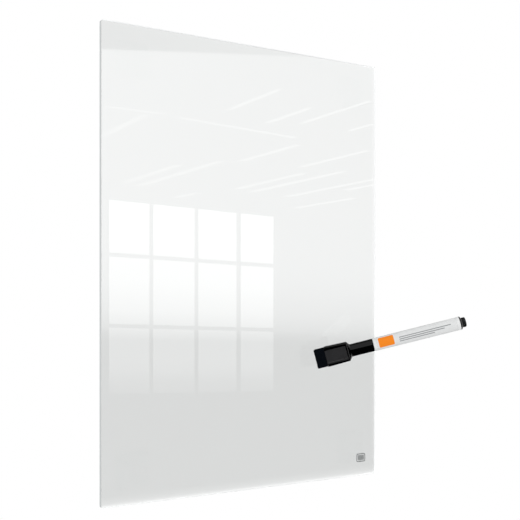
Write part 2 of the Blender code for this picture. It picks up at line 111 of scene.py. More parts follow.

# The felt's uneven face: how far it is worn down, the grain of its tufts and hollows per metre, and
# how many times lighter its raised strands are painted than its hollows, a painted highlight and
# shade
FELT_EASE = 0.00088
FELT_EASE_STEPS = 8
FELT_VOXEL = 0.00028
FELT_WORN = 0.00003
TUFT_DEPTH = 0.00012
TUFT_GRAIN = 1500
HOLLOW_DEPTH = 0.00008
HOLLOW_GRAIN = 350
STRAND_LIGHT = 3.2

# Print on the barrel's wrap: lengths are in the pen's frame, and arcs are measured round the barrel
# from the side that shows the magnet, the lower side first
PATCH_LENGTH = (0.00375, 0.01435)
PATCH_ARC = (-0.0043, 0.0032)
PATCH_CORNER = 0.0009
STRIPES = (
    ((0.01795, 0.0538), (-0.00130, -0.00065)),
    ((0.01795, 0.0492), (0.00005, 0.00070)),
    ((0.01795, 0.0422), (0.00140, 0.00205)),
)

# Mark in the sheet's lower right corner: a frame round a block. Each outline is how much smaller
# it is than the mark, and its corner radius: the frame's outside and inside, and the block.
MARK_CENTRE = (0.0915, -0.1357)
MARK_THICKNESS = 0.00004
MARK_GAP = 0.00001
MARK_OUTLINES = ((0, 0.0014), (0.0016, 0.0007), (0.0026, 0.0004))

# Panels that only reflections show. Level lists are (height, level), up from the panel's foot, and
# the others are (from, to, first level, last level) or (from, to) as a place along an axis.
REFLECTED_WALL_Y = -2.0
PANES_Y = REFLECTED_WALL_Y + 0.005
WALL_SIDES = (0.30, 2.20)
WALL_HEIGHTS = (-0.80, 1.20)
WALL_SLOPE = 0.0385
WALL_SLOPE_FROM = 0.647
WALL_FADE = (0.62, 1.75, 1.08, 0.93)
TOP_SHADE_SLOPE = -0.116
TOP_SHADE_EDGE = (0.672, 0.682)
TOP_SHADE_LEVEL = (0.65, 1.25, 0.50, 0.68)
WALL_LEVELS = (
    (-0.2200, 0.0),
    (-0.1500, 0.03),
    (-0.1336, 0.07),
    (-0.1166, 0.20),
    (-0.0996, 0.40),
    (-0.0656, 0.60),
    (-0.0316, 0.72),
    (0.0023, 0.80),
    (0.0360, 0.88),
    (0.1040, 0.97),
    (0.1720, 1.00),
)
PANE_LEVELS = (
    (-0.308, 0.06),
    (-0.265, 0.12),
    (-0.234, 0.20),
    (-0.203, 0.23),
    (-0.141, 0.23),
    (-0.110, 0.42),
    (-0.078, 0.57),
    (-0.047, 0.70),
    (-0.016, 0.76),
    (0.015, 0.82),
    (0.046, 0.87),
    (0.140, 0.93),
    (0.202, 1.00),
)
FOOT_LEVELS = (
    (-0.6710, 0.0),
    (-0.6670, 0.15),
    (-0.6630, 0.60),
    (-0.6595, 1.00),
    (-0.6560, 1.00),
    (-0.6525, 0.79),
    (-0.6495, 0.45),
    (-0.6464, 0.31),
    (-0.6433, 0.21),
    (-0.6400, 0.16),
    (-0.6340, 0.09),
    (-0.6280, 0.05),
    (-0.6220, 0.0),
)
FOOT_LEVEL = 1.55
PANE_COLUMNS = ((0.6467, 0.7796), (0.7927, 0.9375), (0.9517, 1.0929), (1.1094, 1.2372))
PANE_ROWS = ((-0.3057, -0.1028), (-0.0908, 0.1157), (0.1286, 0.2897))

# Light strips on the reflected ceiling: the (x, y) places of both ends
STRIP_HEIGHT = 0.30
STRIP_SPREAD = 0.016
STRIPS = (
    ((0.400, -0.770), (0.400, -0.610)),
    ((0.510, -0.830), (0.510, -0.690)),
    ((0.565, -0.800), (0.565, -0.600)),
    ((0.680, -0.810), (0.680, -0.740)),
    ((0.295, -1.100), (0.295, -0.880)),
    ((0.900, -1.650), (0.900, -1.300)),
    ((0.970, -1.690), (0.970, -1.220)),
    ((0.840, -1.220), (0.840, -0.960)),
    ((1.120, -1.730), (1.120, -1.240)),
    ((1.185, -1.510), (1.185, -1.370)),
    ((1.320, -1.980), (1.320, -1.650)),
    ((0.840, -1.930), (0.840, -1.780)),
    ((0.575, -1.690), (0.575, -1.340)),
    ((0.635, -1.730), (0.635, -1.240)),
    ((0.675, -1.220), (0.675, -0.980)),
    ((0.210, -0.855), (0.320, -0.855)),
    ((0.350, -0.870), (0.630, -0.920)),
)

# Sphere round it all
SKY_RADIUS = 3.0
SKY_FRONT_TO_BACK = (0.0, 0.6)
SKY_HORIZON = (0.45, 0.70)
SKY_FADE = (0.70, 1.50, 1.15, 0.90)
SKY_SIDES = (2.45, 2.85)

# Floor, lamp and camera
FLOOR_RADIUS = 1.25
FLOOR_FADE = (0.45, 0.98)
LAMP_PLACE = Vector((-0.9, -1.3, 1.3))
LAMP_SIZE = 1.2
CAMERA_PLACE = (-0.2849, -0.4974, -0.0229)
CAMERA_TURN = math.radians(-30.6)
CAMERA_LENS = 58.96
CAMERA_SHIFT = 0.0800


class BoardFinish(PropertyGroup):
    """Colours and sizes of the sheet and what is on it."""

    sheet_tint: FloatVectorProperty(
        name="Sheet tint", description="Colour of white light seen through the sheet",
        subtype="COLOR", default=(0.810, 0.821, 0.815), min=0, max=1,
    )
    sheet_roughness: FloatProperty(
        name="Sheet roughness", description="How soft the sheet's reflections are",
        default=0.008, min=0, max=1,
    )
    edge_colour: FloatVectorProperty(
        name="Edge colour", description="Colour of the sheet's polished edges from outside",
        subtype="COLOR", default=(0.71, 0.74, 0.74), min=0, max=1,
    )
    mark_colour: FloatVectorProperty(
        name="Mark colour", description="Colour of the mark in the lower right corner",
        subtype="COLOR", default=(0.28, 0.29, 0.29), min=0, max=1,
    )
    mark_width: FloatProperty(
        name="Mark width", description="Width of the mark in the lower right corner",
        unit="LENGTH", default=0.0080, min=0.002, max=0.02,
    )
    mark_height: FloatProperty(
        name="Mark height", description="Height of the mark in the lower right corner",
        unit="LENGTH", default=0.0062, min=0.002, max=0.02,
    )


class MarkerFinish(PropertyGroup):
    """Colours of the marker's pieces."""

    cap_colour: FloatVectorProperty(
        name="Cap colour", description="Colour of the cap",
        subtype="COLOR", default=(0.0006, 0.0007, 0.0009), min=0, max=1,
    )
    plug_colour: FloatVectorProperty(
        name="Plug colour", description="Colour of the end plug",
        subtype="COLOR", default=(0.0110, 0.0125, 0.0130), min=0, max=1,
    )
    magnet_colour: FloatVectorProperty(
        name="Magnet colour", description="Colour of the magnet strip",
        subtype="COLOR", default=(0.019, 0.019, 0.0205), min=0, max=1,
    )
    felt_colour: FloatVectorProperty(
        name="Felt colour", description="Colour of the eraser felt",
        subtype="COLOR", default=(0.0007, 0.0013, 0.0025), min=0, max=1,
    )
    barrel_colour: FloatVectorProperty(
        name="Barrel colour", description="Colour of the pen's white plastic",
        subtype="COLOR", default=(0.86, 0.87, 0.87), min=0, max=1,
    )
    wrap_colour: FloatVectorProperty(
        name="Wrap colour", description="Ground colour of the printed wrap",
        subtype="COLOR", default=(0.79, 0.80, 0.80), min=0, max=1,
    )
    patch_colour: FloatVectorProperty(
        name="Patch colour", description="Colour of the wrap's patch",
        subtype="COLOR", default=(0.97, 0.262, 0.012), min=0, max=1,
    )
    stripe_colour: FloatVectorProperty(
        name="Stripe colour", description="Colour of the wrap's stripes",
        subtype="COLOR", default=(0.28, 0.29, 0.30), min=0, max=1,
    )


class StudioSetup(PropertyGroup):
    """Levels of the light, and the floor's place."""

    world_level: FloatProperty(
        name="World level", description="Soft light from all round",
        default=0.94, min=0, max=2,
    )
    mirrored_level: FloatProperty(
        name="Mirrored level",
        description="Share of the world's white left in what the sheet's back mirrors",
        default=0.40, min=0, max=1,
    )
    lamp_power: FloatProperty(
        name="Lamp power", description="Power of the soft lamp above the board",
        unit="POWER", default=4.0, min=0, max=100,
    )
    wall_level: FloatProperty(
        name="Reflected wall level",
        description="Brightness of the pale wall that the sheet reflects",
        default=2.12, min=0, max=20,
    )
    pane_level: FloatProperty(
        name="Reflected pane level",
        description="Brightness of the panes that the sheet reflects",
        default=3.68, min=0, max=20,
    )
    sky_level: FloatProperty(
        name="Reflected sky level",
        description="Brightness above the horizon on the board's front side",
        default=0.80, min=0, max=20,
    )
    back_sky_level: FloatProperty(
        name="Reflected back sky level",
        description="Brightness above the horizon on the board's back side",
        default=0.04, min=0, max=20,
    )
    side_level: FloatProperty(
        name="Reflected side level", description="Brightness to the board's left and right",
        default=0.90, min=0, max=20,
    )
    strip_level: FloatProperty(
        name="Reflected strip level",
        description="Brightness of the ceiling's light strips that the sheet reflects",
        default=2.60, min=0, max=20,
    )
    floor_drop: FloatProperty(
        name="Floor drop", description="How far the floor lies below the board",
        unit="LENGTH", default=0.40, min=0, max=2,
    )


def marker_frame(height=0.0):
    """Turns the marker's own frame, started at a height along its axis, into the part's frame."""
    side = Vector((0, 0, 1)).cross(PEN_AXIS).normalized()
    across = side.cross(PEN_AXIS)
    turn = Matrix((across, side, PEN_AXIS)).transposed().to_4x4()
    return Matrix.Translation(MARKER_START + height * PEN_AXIS) @ turn


# Node helpers


def add(tree, kind, **settings):
    """A new node, with its settings."""
    node = tree.nodes.new(kind)
    for name, value in settings.items():
        setattr(node, name, value)
    return node


def join(tree, source, target):
    tree.links.new(source, target)


def feed(tree, socket, value):
    """Links a socket to another, or sets it to a plain value."""
    if isinstance(value, bpy.types.NodeSocket):
        join(tree, value, socket)
    else:
        socket.default_value = value


def maths(tree, operation, first, second=None, third=None, clamp=False):
    """The result of one sum, from sockets or plain numbers."""
    node = add(tree, "ShaderNodeMath", operation=operation, use_clamp=clamp)
    for socket, value in zip(node.inputs, (first, second, third)):
        if value is not None:
            feed(tree, socket, value)
    return node.outputs[0]


def ranged(tree, value, low, high, out_low=0.0, out_high=1.0, smooth=False):
    """A value mapped from one range into another, and held at its ends."""
    curve = "SMOOTHSTEP" if smooth else "LINEAR"
    node = add(tree, "ShaderNodeMapRange", interpolation_type=curve)
    given = {
        "Value": value, "From Min": low, "From Max": high, "To Min": out_low, "To Max": out_high,
    }
    for name, part in given.items():
        feed(tree, node.inputs[name], part)
    return node.outputs["Result"]


def mixed(tree, share, first, second):
    """One colour mixed into another."""
    node = add(tree, "ShaderNodeMix", data_type="RGBA")
    sockets = {socket.identifier: socket for socket in node.inputs}
    feed(tree, sockets["Factor_Float"], share)
    feed(tree, sockets["A_Color"], first)
    feed(tree, sockets["B_Color"], second)
    return next(socket for socket in node.outputs if socket.identifier == "Result_Color")


def rgba(colour, share=1.0):
    """A colour made brighter or darker by a share, with full alpha."""
    return (*[min(part * share, 1.0) for part in colour[:3]], 1.0)


def separated(tree, vector):
    """The X, Y and Z of a vector."""
    node = add(tree, "ShaderNodeSeparateXYZ")
    join(tree, vector, node.inputs[0])
    return node.outputs


def place_vector(tree, transform=None):
    """Object coordinates, or those of a frame that the object's own holds."""
    place = add(tree, "ShaderNodeTexCoord").outputs["Object"]
    if transform is None:
        return place
    turned = add(tree, "ShaderNodeMapping", vector_type="TEXTURE")
    turned.inputs["Location"].default_value = transform.to_translation()
    turned.inputs["Rotation"].default_value = transform.to_euler()
    join(tree, place, turned.inputs["Vector"])
    return turned.outputs["Vector"]


def effect_group(name, inputs, outputs):
    """An empty node group for an effect that several materials share."""
    tree = bpy.data.node_groups.new(name, "ShaderNodeTree")
    for label, default in inputs:
        kind = "NodeSocketVector" if default is None else "NodeSocketFloat"
        socket = tree.interface.new_socket(label, in_out="INPUT", socket_type=kind)
        if default is not None:
            socket.default_value = default
    for label in outputs:
        tree.interface.new_socket(label, in_out="OUTPUT", socket_type="NodeSocketFloat")
    given = tree.nodes.new("NodeGroupInput").outputs
    return tree, given, tree.nodes.new("NodeGroupOutput").inputs


def noise_value(tree, vector, scale, detail=2.0, roughness=0.5):
    """Plain noise, from 0 to 1."""
    node = add(tree, "ShaderNodeTexNoise")
    given = {"Vector": vector, "Scale": scale, "Detail": detail, "Roughness": roughness}
    for name, part in given.items():
        feed(tree, node.inputs[name], part)
    return node.outputs["Fac"]


def moulded_grain():
    """Fine grain of moulded plastic, with slow handling marks over it."""
    known = bpy.data.node_groups.get("moulded_grain")
    if known:
        return known
    tree, given, out = effect_group(
        "moulded_grain",
        (("Vector", None), ("Grain Scale", 9000.0), ("Mark Scale", 260.0)),
        ("Grain", "Marks"),
    )
    grain = noise_value(tree, given["Vector"], given["Grain Scale"], 3.0, 0.6)
    marks = noise_value(tree, given["Vector"], given["Mark Scale"], 4.0, 0.62)
    join(tree, grain, out["Grain"])
    join(tree, ranged(tree, marks, 0.32, 0.68, smooth=True), out["Marks"])
    return tree


def fibre_grain():
    """Tangled fibres, as in felt or a bonded fibre rod, with a Shade output that rises where the
    fibres stand high, for painted light and shade.
    """
    known = bpy.data.node_groups.get("fibre_grain")
    if known:
        return known
    tree, given, out = effect_group(
        "fibre_grain",
        (("Vector", None), ("Fibre Scale", 2600.0), ("Tuft Scale", 900.0)),
        ("Height", "Shade"),
    )
    bent = add(tree, "ShaderNodeTexNoise")
    join(tree, given["Vector"], bent.inputs["Vector"])
    join(tree, given["Tuft Scale"], bent.inputs["Scale"])
    shifted = add(tree, "ShaderNodeVectorMath", operation="MULTIPLY_ADD")
    join(tree, bent.outputs["Color"], shifted.inputs[0])
    shifted.inputs[1].default_value = (0.0012, 0.0012, 0.0012)
    join(tree, given["Vector"], shifted.inputs[2])
    strands = add(tree, "ShaderNodeTexVoronoi", feature="DISTANCE_TO_EDGE")
    join(tree, shifted.outputs[0], strands.inputs["Vector"])
    join(tree, given["Fibre Scale"], strands.inputs["Scale"])
    strand = ranged(tree, strands.outputs["Distance"], 0.0, 0.18, 1.0, 0.0)
    tuft = noise_value(tree, given["Vector"], given["Tuft Scale"], 3.0, 0.65)
    height = maths(tree, "MULTIPLY_ADD", strand, 0.55, maths(tree, "MULTIPLY", tuft, 0.6))
    join(tree, height, out["Height"])
    # Shade follows the height: painted shade in the hollows, painted highlight on the raised
    # strands
    join(tree, ranged(tree, height, 0.25, 0.85, smooth=True), out["Shade"])
    return tree


def wipe_marks():
    """Faint arcs and haze that a cloth leaves on a polished sheet."""
    known = bpy.data.node_groups.get("wipe_marks")
    if known:
        return known
    tree, given, out = effect_group(
        "wipe_marks",
        (("Vector", None), ("Stroke Scale", 26.0), ("Haze Scale", 9.0)),
        ("Strokes", "Haze"),
    )
    turned = add(tree, "ShaderNodeMapping", vector_type="POINT")
    join(tree, given["Vector"], turned.inputs["Vector"])
    turned.inputs["Rotation"].default_value = (0, math.radians(24), 0)
    turned.inputs["Scale"].default_value = (1.0, 1.0, 14.0)
    strokes = noise_value(tree, turned.outputs[0], given["Stroke Scale"], 5.0, 0.7)
    haze = noise_value(tree, given["Vector"], given["Haze Scale"], 3.0, 0.5)
    join(tree, ranged(tree, strokes, 0.40, 0.72, smooth=True), out["Strokes"])
    join(tree, ranged(tree, haze, 0.30, 0.70, smooth=True), out["Haze"])
    return tree


def place_group(tree, group, vector, **values):
    """An effect's group in a material, with that material's own values."""
    node = add(tree, "ShaderNodeGroup", node_tree=group)
    join(tree, vector, node.inputs["Vector"])
    for name, value in values.items():
        node.inputs[name.replace("_", " ").title()].default_value = value
    return node.outputs


def new_finish(name):
    """A new material with a Principled shader, and its tree and shader."""
    material = bpy.data.materials.new(name)
    material.use_nodes = True
    tree = material.node_tree
    return material, tree, tree.nodes["Principled BSDF"]


def blend_colour(tree, shader, share, first, second):
    """Base colour that runs from one colour to another."""
    join(tree, mixed(tree, share, first, second), shader.inputs["Base Color"])


def blend_roughness(tree, shader, share, low, high):
    """Roughness that runs from a low to a high value."""
    join(tree, ranged(tree, share, 0.0, 1.0, low, high), shader.inputs["Roughness"])


def bump(tree, shader, height, strength, distance):
    """Relief in the shader's normal, up to a depth in metres."""
    node = add(tree, "ShaderNodeBump")
    node.inputs["Strength"].default_value = strength
    node.inputs["Distance"].default_value = distance
    join(tree, height, node.inputs["Height"])
    join(tree, node.outputs["Normal"], shader.inputs["Normal"])


def moulded_plastic(name, colour, roughness, spread=0.06, depth=0.3, specular=0.5):
    """Injection-moulded plastic: fine surface grain, and handling marks in colour and gloss."""
    material, tree, shader = new_finish(name)
    shader.inputs["Specular IOR Level"].default_value = specular
    effects = place_group(tree, moulded_grain(), place_vector(tree), grain_scale=9000.0)
    marks = effects["Marks"]
    blend_colour(tree, shader, marks, rgba(colour, 0.9), rgba(colour))
    blend_roughness(tree, shader, marks, roughness - spread / 2, roughness + spread / 2)
    bump(tree, shader, effects["Grain"], depth, 0.00002)
    return material


def fibre_finish(name, colour, light, fibre_scale, tuft_scale, depth):
    """Felt or bonded fibre: matt, painted lighter on its raised strands and darker in the hollows
    between them, a painted highlight and shade that follow the relief.
    """
    material, tree, shader = new_finish(name)
    effects = place_group(
        tree, fibre_grain(), place_vector(tree), fibre_scale=fibre_scale, tuft_scale=tuft_scale
    )
    # Painted highlight on the raised strands and painted shade in the hollows
    blend_colour(tree, shader, effects["Shade"], rgba(colour), rgba(light))
    shader.inputs["Roughness"].default_value = 0.95
    shader.inputs["Specular IOR Level"].default_value = 0.1
    bump(tree, shader, effects["Height"], depth, 0.0002)
    return material


# Mesh helpers


def rounded_outline(width, height, radius):
    """Points round a rectangle with round corners, as pairs."""
    points = []
    for corner, (side_x, side_z) in enumerate(((1, 1), (-1, 1), (-1, -1), (1, -1))):
        for step in range(CORNER_STEPS + 1):
            angle = (corner + step / CORNER_STEPS) * math.pi / 2
            points.append(
                (
                    side_x * (width / 2 - radius) + radius * math.cos(angle),
                    side_z * (height / 2 - radius) + radius * math.sin(angle),
                )
            )
    return points


def eased_edge(ease, steps):
    """How far each step round an eased edge lies in from the side and up from the face."""
    angles = [step / steps * math.pi / 2 for step in range(steps + 1)]
    return [(ease * (1 - math.sin(angle)), ease * (1 - math.cos(angle))) for angle in angles]


def loft(bm, rings, closed=True):
    """Skins rings of equal count, and closes both ends unless told not to."""
    rows = [[bm.verts.new(point) for point in ring] for ring in rings]
    for lower, upper in zip(rows, rows[1:]):
        for index in range(len(lower)):
            after = (index + 1) % len(lower)
            bm.faces.new((lower[index], lower[after], upper[after], upper[index]))
    if closed:
        bm.faces.new(rows[0][::-1])
        bm.faces.new(rows[-1])


def finished_mesh(name, bm):
    """A mesh of what was built, with its round faces smooth and its edges sharp."""
    bmesh.ops.remove_doubles(bm, verts=bm.verts, dist=0.0000005)
    bmesh.ops.recalc_face_normals(bm, faces=bm.faces)
    mesh = bpy.data.meshes.new(name)
    bm.to_mesh(mesh)
    bm.free()
    mesh.shade_smooth()
    mesh.set_sharp_from_angle(angle=SHARP_ANGLE)
    return mesh


def new_piece(name, mesh, materials):
    """A new visible object with its materials."""
    obj = bpy.data.objects.new(name, mesh)
    for material in materials:
        mesh.materials.append(material)
    bpy.context.scene.collection.objects.link(obj)
    return obj


def smooth_faces():
    """Geometry nodes that join a CAD node's facets and shade its round faces smooth."""
    known = bpy.data.node_groups.get("smooth_faces")
    if known:
        return known
    tree = bpy.data.node_groups.new("smooth_faces", "GeometryNodeTree")
    for way in ("INPUT", "OUTPUT"):
        tree.interface.new_socket("Geometry", in_out=way, socket_type="NodeSocketGeometry")
    given = tree.nodes.new("NodeGroupInput")
    out = tree.nodes.new("NodeGroupOutput")
    plain = add(tree, "GeometryNodeRemoveAttribute")
    plain.inputs["Name"].default_value = "custom_normal"
    merged = add(tree, "GeometryNodeMergeByDistance")
    merged.inputs["Distance"].default_value = 0.000002
    smooth = add(tree, "GeometryNodeSetShadeSmooth", domain="FACE")
    sharp = add(tree, "GeometryNodeSetShadeSmooth", domain="EDGE")
    sharp.inputs["Shade Smooth"].default_value = False
    angle = add(tree, "GeometryNodeInputMeshEdgeAngle")
    steep = add(tree, "FunctionNodeCompare", data_type="FLOAT", operation="GREATER_THAN")
    join(tree, angle.outputs["Unsigned Angle"], steep.inputs[0])
    steep.inputs[1].default_value = SHARP_ANGLE
    join(tree, given.outputs["Geometry"], plain.inputs["Geometry"])
    join(tree, plain.outputs["Geometry"], merged.inputs["Geometry"])
    join(tree, merged.outputs["Geometry"], smooth.inputs["Geometry"])
    join(tree, smooth.outputs["Geometry"], sharp.inputs["Geometry"])
    join(tree, steep.outputs["Result"], sharp.inputs["Selection"])
    join(tree, sharp.outputs["Geometry"], out.inputs["Geometry"])
    return tree


def dress(node, material):
    """Gives a CAD node its material and smooth faces, and keeps its image out of the sheet."""
    obj = frame["nodes"][node]
    obj.visible_glossy = False
    for slot in obj.material_slots:
        slot.material = material
    modifier = obj.modifiers.new("smooth_faces", "NODES")
    modifier.node_group = smooth_faces()
    weighted = obj.modifiers.new("flat_faces", "WEIGHTED_NORMAL")
    weighted.keep_sharp = True


# Finishes of the board


def sheet_finish(look):
    """Polished clear sheet with a hard dry-wipe coat, whose colour is painted black to glossy rays
    from outside, a painted dark reflection in the marker's gloss.
    """
    material, tree, shader = new_finish("polished_acrylic")
    effects = place_group(tree, wipe_marks(), place_vector(tree))
    haze = maths(tree, "MULTIPLY", effects["Haze"], 0.5)
    clear = mixed(tree, haze, rgba(look.sheet_tint), rgba(look.sheet_tint, 0.994))
    # Painted dark reflection: to glossy rays that meet the sheet from outside, its colour is black
    inside = add(tree, "ShaderNodeNewGeometry").outputs["Backfacing"]
    path = add(tree, "ShaderNodeLightPath").outputs
    outside = maths(tree, "SUBTRACT", path["Is Glossy Ray"], inside, clamp=True)
    painted_dark_in_gloss = maths(tree, "SUBTRACT", outside, path["Is Transmission Ray"], clamp=True)
    blend_colour(tree, shader, painted_dark_in_gloss, clear, BLACK)
    base = look.sheet_roughness
    blend_roughness(tree, shader, effects["Strokes"], base, base + 0.012)
    shader.inputs["Metallic"].default_value = 0.0
    shader.inputs["IOR"].default_value = 1.49
    shader.inputs["Transmission Weight"].default_value = 1.0
    shader.inputs["Coat Weight"].default_value = 1.0
    shader.inputs["Coat Roughness"].default_value = 0.012
    shader.inputs["Coat IOR"].default_value = 1.6
    return material


def sheet_edge_finish(look):
    """Edge of the sheet: grey from outside, with a painted glow that it emits where it is seen
    through the sheet from inside.
    """
    material, tree, shader = new_finish("polished_acrylic_edge")
    place = add(tree, "ShaderNodeMapping", vector_type="POINT")
    join(tree, place_vector(tree), place.inputs["Vector"])
    place.inputs["Scale"].default_value = (1.0, 0.05, 1.0)
    lines = noise_value(tree, place.outputs[0], 1800.0, 3.0, 0.6)
    colour = look.edge_colour
    blend_colour(tree, shader, lines, rgba(colour, 0.94), rgba(colour, 1.06))
    join(tree, ranged(tree, lines, 0.3, 0.7, 0.16, 0.26), shader.inputs["Roughness"])
    parts = separated(tree, place_vector(tree))
    upright = ranged(tree, parts["Z"], *UPRIGHT_PAINTED_GLOW)
    lying = ranged(tree, parts["X"], *LYING_PAINTED_GLOW)
    away = maths(tree, "ABSOLUTE", parts["Z"])
    level = ranged(tree, away, *LYING_HEIGHTS, upright, lying)
    # Painted glow: the edge emits light only where it is hit from inside the sheet
    inside = add(tree, "ShaderNodeNewGeometry").outputs["Backfacing"]
    seen = maths(tree, "MULTIPLY", inside, level)
    glow = mixed(tree, seen, BLACK, (0.97, 0.98, 0.98, 1))
    join(tree, glow, shader.inputs["Emission Color"])
    shader.inputs["Emission Strength"].default_value = 1.03
    return material


def gel_finish():
    """Clear gel that hardly shows through the sheet that it has wetted, with a milky wall side."""
    material, tree, shader = new_finish("clear_gel")
    effects = place_group(tree, moulded_grain(), place_vector(tree), mark_scale=160.0)
    surface = add(tree, "ShaderNodeNewGeometry").outputs
    facing = separated(tree, surface["Normal"])
    towards_wall = maths(tree, "GREATER_THAN", facing["Y"], 0.5)
    wall_side = maths(tree, "SUBTRACT", towards_wall, surface["Backfacing"], clamp=True)
    clear = mixed(tree, effects["Marks"], (0.985, 0.99, 0.99, 1), (0.995, 0.995, 0.995, 1))
    milky = mixed(tree, effects["Marks"], (0.74, 0.75, 0.75, 1), (0.82, 0.83, 0.83, 1))
    blend_colour(tree, shader, wall_side, clear, milky)
    blend_roughness(tree, shader, effects["Marks"], 0.05, 0.12)
    shader.inputs["Metallic"].default_value = 0.0
    shader.inputs["IOR"].default_value = 1.005
    shader.inputs["Transmission Weight"].default_value = 1.0
    return material


def mark_finish(colour):
    """Matt grey print."""
    material, tree, shader = new_finish("corner_mark_print")
    effects = place_group(tree, moulded_grain(), place_vector(tree), grain_scale=6000.0)
    blend_colour(tree, shader, effects["Grain"], rgba(colour, 0.94), rgba(colour, 1.06))
    shader.inputs["Roughness"].default_value = 0.5
    return material


# Finishes of the marker


def within(tree, value, limits):
    """1 between two limits, and 0 outside them."""
    middle, half = sum(limits) / 2, (limits[1] - limits[0]) / 2
    return maths(tree, "COMPARE", value, middle, half)


def in_rounded_patch(tree, along, arc, length_limits, arc_limits, corner):
    """1 inside a rectangle with round corners, drawn on the wrap, and 0 outside it."""
    reaches = []
    for value, limits in ((along, length_limits), (arc, arc_limits)):
        middle, half = sum(limits) / 2, (limits[1] - limits[0]) / 2
        off = maths(tree, "ABSOLUTE", maths(tree, "SUBTRACT", value, middle))
        reaches.append(maths(tree, "MAXIMUM", maths(tree, "SUBTRACT", off, half - corner), 0.0))
    squares = [maths(tree, "MULTIPLY", reach, reach) for reach in reaches]
    return maths(tree, "LESS_THAN", maths(tree, "ADD", *squares), corner * corner)


def printed_film(look):
    """Printed wrap: a pale ground with an orange patch and plain grey stripes."""
    material, tree, shader = new_finish("printed_film")
    shader.inputs["Specular IOR Level"].default_value = 0.2
    vector = place_vector(tree, marker_frame(MOUTH_HEIGHT))
    parts = separated(tree, vector)
    turn = maths(tree, "ARCTAN2", parts["X"], maths(tree, "MULTIPLY", parts["Y"], -1.0))
    arc = maths(tree, "MULTIPLY", turn, BARREL_RADIUS)
    along = parts["Z"]
    patch = in_rounded_patch(tree, along, arc, PATCH_LENGTH, PATCH_ARC, PATCH_CORNER)
    stripes = None
    for length, height in STRIPES:
        stripe = maths(tree, "MULTIPLY", within(tree, along, length), within(tree, arc, height))
        stripes = stripe if stripes is None else maths(tree, "MAXIMUM", stripes, stripe)
    effects = place_group(tree, moulded_grain(), vector, grain_scale=12000.0, mark_scale=300.0)
    ground = mixed(tree, effects["Marks"], rgba(look.wrap_colour, 0.975), rgba(look.wrap_colour))
    ink = maths(tree, "MULTIPLY", stripes, ranged(tree, effects["Grain"], 0.3, 0.7, 0.88, 1.0))
    printed = mixed(tree, ink, ground, rgba(look.stripe_colour))
    blend_colour(tree, shader, patch, printed, rgba(look.patch_colour))
    blend_roughness(tree, shader, effects["Marks"], 0.30, 0.38)
    bump(tree, shader, effects["Grain"], 0.15, 0.00001)
    return material


def magnet_finish(colour):
    """Flexible magnet strip: matt, with pale specks of its powder."""
    material, tree, shader = new_finish("magnet_strip")
    vector = place_vector(tree)
    effects = place_group(tree, moulded_grain(), vector, grain_scale=5000.0, mark_scale=400.0)
    specks = noise_value(tree, vector, 3800.0, 1.0, 0.4)
    speck = maths(tree, "MULTIPLY", ranged(tree, specks, 0.62, 0.72, smooth=True), 0.5)
    ground = mixed(tree, effects["Marks"], rgba(colour, 0.85), rgba(colour, 1.05))
    blend_colour(tree, shader, speck, ground, rgba(colour, 2.2))
    shader.inputs["Roughness"].default_value = 0.65
    shader.inputs["Specular IOR Level"].default_value = 0.3
    bump(tree, shader, effects["Grain"], 0.5, 0.00004)
    return material


def film_finish():
    """Clear sleeve round the ink fibres."""
    material, tree, shader = new_finish("clear_sleeve")
    effects = place_group(tree, moulded_grain(), place_vector(tree))
    blend_colour(tree, shader, effects["Marks"], (0.84, 0.86, 0.87, 1), (0.9, 0.91, 0.92, 1))
    blend_roughness(tree, shader, effects["Marks"], 0.15, 0.25)
    shader.inputs["Metallic"].default_value = 0.0
    shader.inputs["Transmission Weight"].default_value = 0.8
    return material


class WHITEBOARD_OT_sheet(Operator):
    """Makes the clear sheet with its eased, polished edges"""

    bl_idname = "whiteboard.sheet"
    bl_label = "Clear sheet"

    def execute(self, context):
        look = context.scene.board_finish
        low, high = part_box("acrylic_panel")
        width, thickness, height = high - low
        edge = eased_edge(SHEET_EASE, SHEET_EASE_STEPS)
        rings = []
        for side, steps in ((-1, edge), (1, edge[::-1])):
            for inset, rise in steps:
                depth = side * (thickness / 2 - rise)
                outline = rounded_outline(
                    width - 2 * inset, height - 2 * inset, SHEET_CORNER - inset
                )
                rings.append([(x, depth, z) for x, z in outline])
        bm = bmesh.new()
        loft(bm, rings)
        bmesh.ops.translate(bm, verts=bm.verts, vec=(low + high) / 2)
        mesh = finished_mesh("clear_sheet", bm)
        sheet = new_piece("clear_sheet", mesh, (sheet_finish(look), sheet_edge_finish(look)))
        for face in mesh.polygons:
            face.material_index = 1 if abs(face.normal.y) < 0.01 else 0
            face.use_smooth = max(abs(part) for part in face.normal) < 0.999
        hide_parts("acrylic_panel")
        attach(sheet, "board")
        return {"FINISHED"}


class WHITEBOARD_OT_corner_mark(Operator):
    """Prints the plain grey mark in the sheet's lower right corner"""

    bl_idname = "whiteboard.corner_mark"
    bl_label = "Corner mark"

    def execute(self, context):
        look = context.scene.board_finish
        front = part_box("acrylic_panel")[0].y
        rings = []
        for smaller, corner in MARK_OUTLINES:
            outline = rounded_outline(
                look.mark_width - smaller, look.mark_height - smaller, corner
            )
            for y in (0, -MARK_THICKNESS):
                rings.append([(x, y, z) for x, z in outline])
        back, face, inner_back, inner_face, *block = rings
        bm = bmesh.new()
        loft(bm, (back, face, inner_face, inner_back, back), closed=False)
        loft(bm, block)
        place = (MARK_CENTRE[0], front - MARK_GAP, MARK_CENTRE[1])
        bmesh.ops.translate(bm, verts=bm.verts, vec=place)
        mesh = finished_mesh("corner_mark", bm)
        mark = new_piece("corner_mark", mesh, (mark_finish(look.mark_colour),))
        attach(mark, "board")
        return {"FINISHED"}


class WHITEBOARD_OT_pads(Operator):
    """Gives the four adhesive pads their clear gel"""

    bl_idname = "whiteboard.pads"
    bl_label = "Adhesive pads"

    def execute(self, context):
        material = gel_finish()
        for row in ("top", "bottom"):
            for column in ("left", "right"):
                dress(f"adhesive_pad_{row}_{column}", material)
        return {"FINISHED"}


